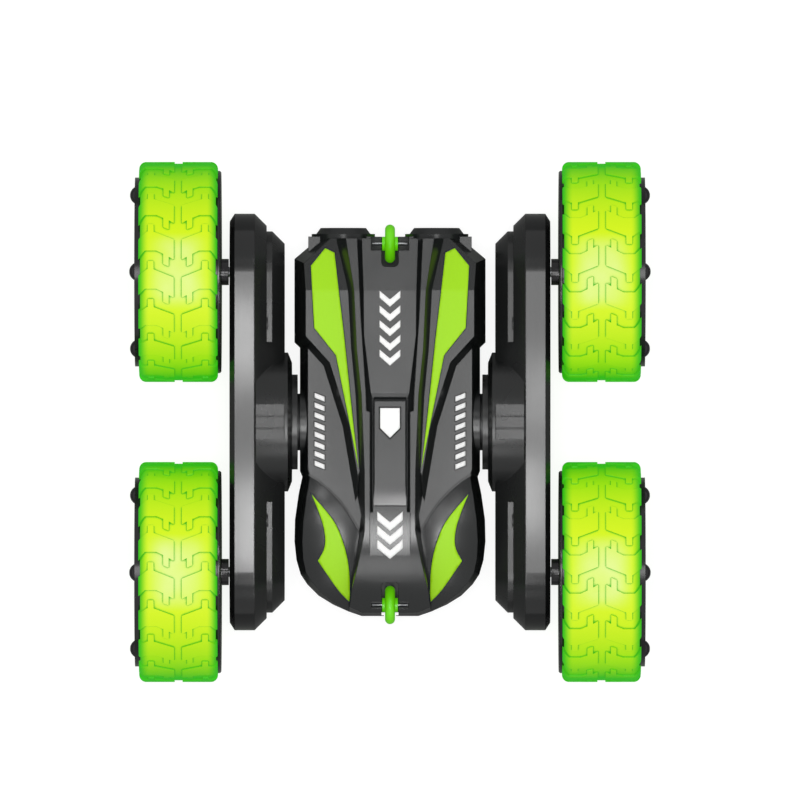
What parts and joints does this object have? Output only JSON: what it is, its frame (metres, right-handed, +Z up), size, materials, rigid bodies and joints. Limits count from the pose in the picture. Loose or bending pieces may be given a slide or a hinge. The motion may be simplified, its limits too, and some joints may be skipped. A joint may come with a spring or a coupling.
{
  "type": "rc stunt car",
  "caption": "Remote-control stunt car: closed body between two swinging drive arms with lit drum wheels, gear trains, guide wheels and a power switch.",
  "frame": {"origin": "on the ground under the arm pivot line, at the middle of the car, with all four tyres on the ground", "axes": "+X to the car's right, -Y forward to the nose, +Y to the tail nozzles, +Z up"},
  "size_m": [0.156, 0.156, 0.066],
  "materials": {
    "body_plastic": "semi-gloss black moulded plastic",
    "arm_plastic": "satin black moulded plastic",
    "hub_plastic": "black moulded plastic",
    "tyre_green": "translucent lime green soft plastic, lit from inside",
    "guide_green": "bright green moulded plastic",
    "steel": "bright steel",
    "screw_steel": "blackened steel",
    "gear_white": "natural white acetal",
    "brass": "brass",
    "motor_steel": "plated steel can",
    "rotor_steel": "steel shaft and laminated armature",
    "board_green": "green solder mask",
    "battery_blue": "blue shrink wrap",
    "knob_black": "matt black plastic",
    "wire_red": "red wire insulation"
  },
  "bodies": {
    "car_body": {"upper_shell": "body_plastic", "lower_shell": "body_plastic", "hood_hatch": "body_plastic", "battery_door": "body_plastic", "body_screws": "screw_steel", "tail_nozzles": "body_plastic", "guide_wheel_pins": "steel", "battery_pack": "battery_blue", "circuit_board": "board_green", "wiring": "wire_red", "pivot_sleeves": "arm_plastic", "motor_left": "motor_steel", "motor_right": "motor_steel"},
    "nose_guide_wheel": {"nose_wheel": "guide_green"},
    "tail_guide_wheel": {"tail_wheel": "guide_green"},
    "switch_knob": {"power_switch": "knob_black"},
    "arm_left": {"arm_outer_case_left": "arm_plastic", "arm_inner_case_left": "arm_plastic", "case_screws_left": "screw_steel", "gear_pins_left": "steel"},
    "wheel_front_left": {"tyre_front_left": "tyre_green", "hub_front_left": "hub_plastic", "inner_disc_front_left": "hub_plastic", "axle_front_left": "steel", "wheel_gear_front_left": "gear_white", "light_board_front_left": "board_green"},
    "idler_front_left": {"idler_gear_front_left": "gear_white"},
    "compound_front_left": {"compound_gear_front_left": "gear_white"},
    "wheel_rear_left": {"tyre_rear_left": "tyre_green", "hub_rear_left": "hub_plastic", "inner_disc_rear_left": "hub_plastic", "axle_rear_left": "steel", "wheel_gear_rear_left": "gear_white", "light_board_rear_left": "board_green"},
    "idler_rear_left": {"idler_gear_rear_left": "gear_white"},
    "compound_rear_left": {"compound_gear_rear_left": "gear_white"},
    "rotor_left": {"motor_rotor_left": "rotor_steel", "motor_pinion_left": "brass"},
    "arm_right": {"arm_outer_case_right": "arm_plastic", "arm_inner_case_right": "arm_plastic", "case_screws_right": "screw_steel", "gear_pins_right": "steel"},
    "wheel_front_right": {"tyre_front_right": "tyre_green", "hub_front_right": "hub_plastic", "inner_disc_front_right": "hub_plastic", "axle_front_right": "steel", "wheel_gear_front_right": "gear_white", "light_board_front_right": "board_green"},
    "idler_front_right": {"idler_gear_front_right": "gear_white"},
    "compound_front_right": {"compound_gear_front_right": "gear_white"},
    "wheel_rear_right": {"tyre_rear_right": "tyre_green", "hub_rear_right": "hub_plastic", "inner_disc_rear_right": "hub_plastic", "axle_rear_right": "steel", "wheel_gear_rear_right": "gear_white", "light_board_rear_right": "board_green"},
    "idler_rear_right": {"idler_gear_rear_right": "gear_white"},
    "compound_rear_right": {"compound_gear_rear_right": "gear_white"},
    "rotor_right": {"motor_rotor_right": "rotor_steel", "motor_pinion_right": "brass"}
  },
  "joints": [
    {"name": "nose_wheel_spin", "type": "hinge", "parent": "car_body", "child": "nose_guide_wheel", "pos_m": [0, -0.0549, 0.033], "axis": [1, 0, 0], "continuous": true},
    {"name": "tail_wheel_spin", "type": "hinge", "parent": "car_body", "child": "tail_guide_wheel", "pos_m": [0, 0.0535, 0.033], "axis": [1, 0, 0], "continuous": true},
    {"name": "power_switch_slide", "type": "slide", "parent": "car_body", "child": "switch_knob", "axis": [0, -1, 0], "range_m": [0, 0.003]},
    {"name": "arm_left_swing", "type": "hinge", "parent": "car_body", "child": "arm_left", "pos_m": [0, 0, 0.033], "axis": [1, 0, 0], "continuous": true},
    {"name": "wheel_front_left_spin", "type": "hinge", "parent": "arm_left", "child": "wheel_front_left", "pos_m": [0, -0.045, 0.033], "axis": [1, 0, 0], "continuous": true},
    {"name": "idler_front_left_spin", "type": "hinge", "parent": "arm_left", "child": "idler_front_left", "pos_m": [0, -0.025, 0.033], "axis": [1, 0, 0], "continuous": true},
    {"name": "compound_front_left_spin", "type": "hinge", "parent": "arm_left", "child": "compound_front_left", "pos_m": [0, -0.013, 0.033], "axis": [1, 0, 0], "continuous": true},
    {"name": "wheel_rear_left_spin", "type": "hinge", "parent": "arm_left", "child": "wheel_rear_left", "pos_m": [0, 0.045, 0.033], "axis": [1, 0, 0], "continuous": true},
    {"name": "idler_rear_left_spin", "type": "hinge", "parent": "arm_left", "child": "idler_rear_left", "pos_m": [0, 0.025, 0.033], "axis": [1, 0, 0], "continuous": true},
    {"name": "compound_rear_left_spin", "type": "hinge", "parent": "arm_left", "child": "compound_rear_left", "pos_m": [0, 0.013, 0.033], "axis": [1, 0, 0], "continuous": true},
    {"name": "rotor_left_spin", "type": "hinge", "parent": "arm_left", "child": "rotor_left", "pos_m": [0, 0, 0.033], "axis": [1, 0, 0], "continuous": true},
    {"name": "arm_right_swing", "type": "hinge", "parent": "car_body", "child": "arm_right", "pos_m": [0, 0, 0.033], "axis": [1, 0, 0], "continuous": true},
    {"name": "wheel_front_right_spin", "type": "hinge", "parent": "arm_right", "child": "wheel_front_right", "pos_m": [0, -0.045, 0.033], "axis": [1, 0, 0], "continuous": true},
    {"name": "idler_front_right_spin", "type": "hinge", "parent": "arm_right", "child": "idler_front_right", "pos_m": [0, -0.025, 0.033], "axis": [1, 0, 0], "continuous": true},
    {"name": "compound_front_right_spin", "type": "hinge", "parent": "arm_right", "child": "compound_front_right", "pos_m": [0, -0.013, 0.033], "axis": [1, 0, 0], "continuous": true},
    {"name": "wheel_rear_right_spin", "type": "hinge", "parent": "arm_right", "child": "wheel_rear_right", "pos_m": [0, 0.045, 0.033], "axis": [1, 0, 0], "continuous": true},
    {"name": "idler_rear_right_spin", "type": "hinge", "parent": "arm_right", "child": "idler_rear_right", "pos_m": [0, 0.025, 0.033], "axis": [1, 0, 0], "continuous": true},
    {"name": "compound_rear_right_spin", "type": "hinge", "parent": "arm_right", "child": "compound_rear_right", "pos_m": [0, 0.013, 0.033], "axis": [1, 0, 0], "continuous": true},
    {"name": "rotor_right_spin", "type": "hinge", "parent": "arm_right", "child": "rotor_right", "pos_m": [0, 0, 0.033], "axis": [1, 0, 0], "continuous": true}
  ],
  "couplings": [
    {"joint": "idler_front_left_spin", "follows": "wheel_front_left_spin", "ratio": -1.5},
    {"joint": "compound_front_left_spin", "follows": "wheel_front_left_spin", "ratio": 3},
    {"joint": "wheel_rear_left_spin", "follows": "wheel_front_left_spin", "ratio": 1},
    {"joint": "idler_rear_left_spin", "follows": "wheel_front_left_spin", "ratio": -1.5},
    {"joint": "compound_rear_left_spin", "follows": "wheel_front_left_spin", "ratio": 3},
    {"joint": "rotor_left_spin", "follows": "wheel_front_left_spin", "ratio": -12.6},
    {"joint": "idler_front_right_spin", "follows": "wheel_front_right_spin", "ratio": -1.5},
    {"joint": "compound_front_right_spin", "follows": "wheel_front_right_spin", "ratio": 3},
    {"joint": "wheel_rear_right_spin", "follows": "wheel_front_right_spin", "ratio": 1},
    {"joint": "idler_rear_right_spin", "follows": "wheel_front_right_spin", "ratio": -1.5},
    {"joint": "compound_rear_right_spin", "follows": "wheel_front_right_spin", "ratio": 3},
    {"joint": "rotor_right_spin", "follows": "wheel_front_right_spin", "ratio": -12.6}
  ]
}
